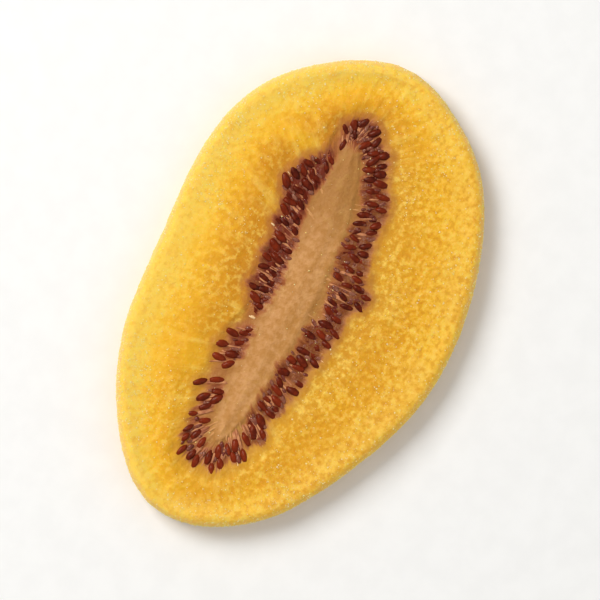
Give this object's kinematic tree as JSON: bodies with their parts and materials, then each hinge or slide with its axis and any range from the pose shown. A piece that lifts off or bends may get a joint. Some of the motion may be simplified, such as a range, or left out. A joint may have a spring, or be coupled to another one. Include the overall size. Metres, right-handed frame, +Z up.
{
  "type": "dried golden kiwi slice",
  "caption": "Lengthwise slice of dried golden kiwi fruit lying flat: granular amber flesh with a thin pale rim, a long tan core and dark drop-shaped seeds packed round it on both faces.",
  "frame": {"origin": "on the surface that the slice lies on, under the middle of its bounding box", "axes": "+X along the slice towards its broad end, +Y across it, +Z up through its thickness"},
  "size_m": [0.0648, 0.0408, 0.005],
  "materials": {
    "flesh": "translucent golden dried flesh, granular and dusted with fine sugar",
    "seed": "dark maroon-brown seeds with a soft gloss",
    "seed_gel": "dried clear gel round the seeds, glossy, with a purplish tint",
    "sugar": "loose clear to white sugar grains stuck to the flesh"
  },
  "bodies": {
    "root": {"kiwi_slice": "flesh"}
  },
  "joints": []
}
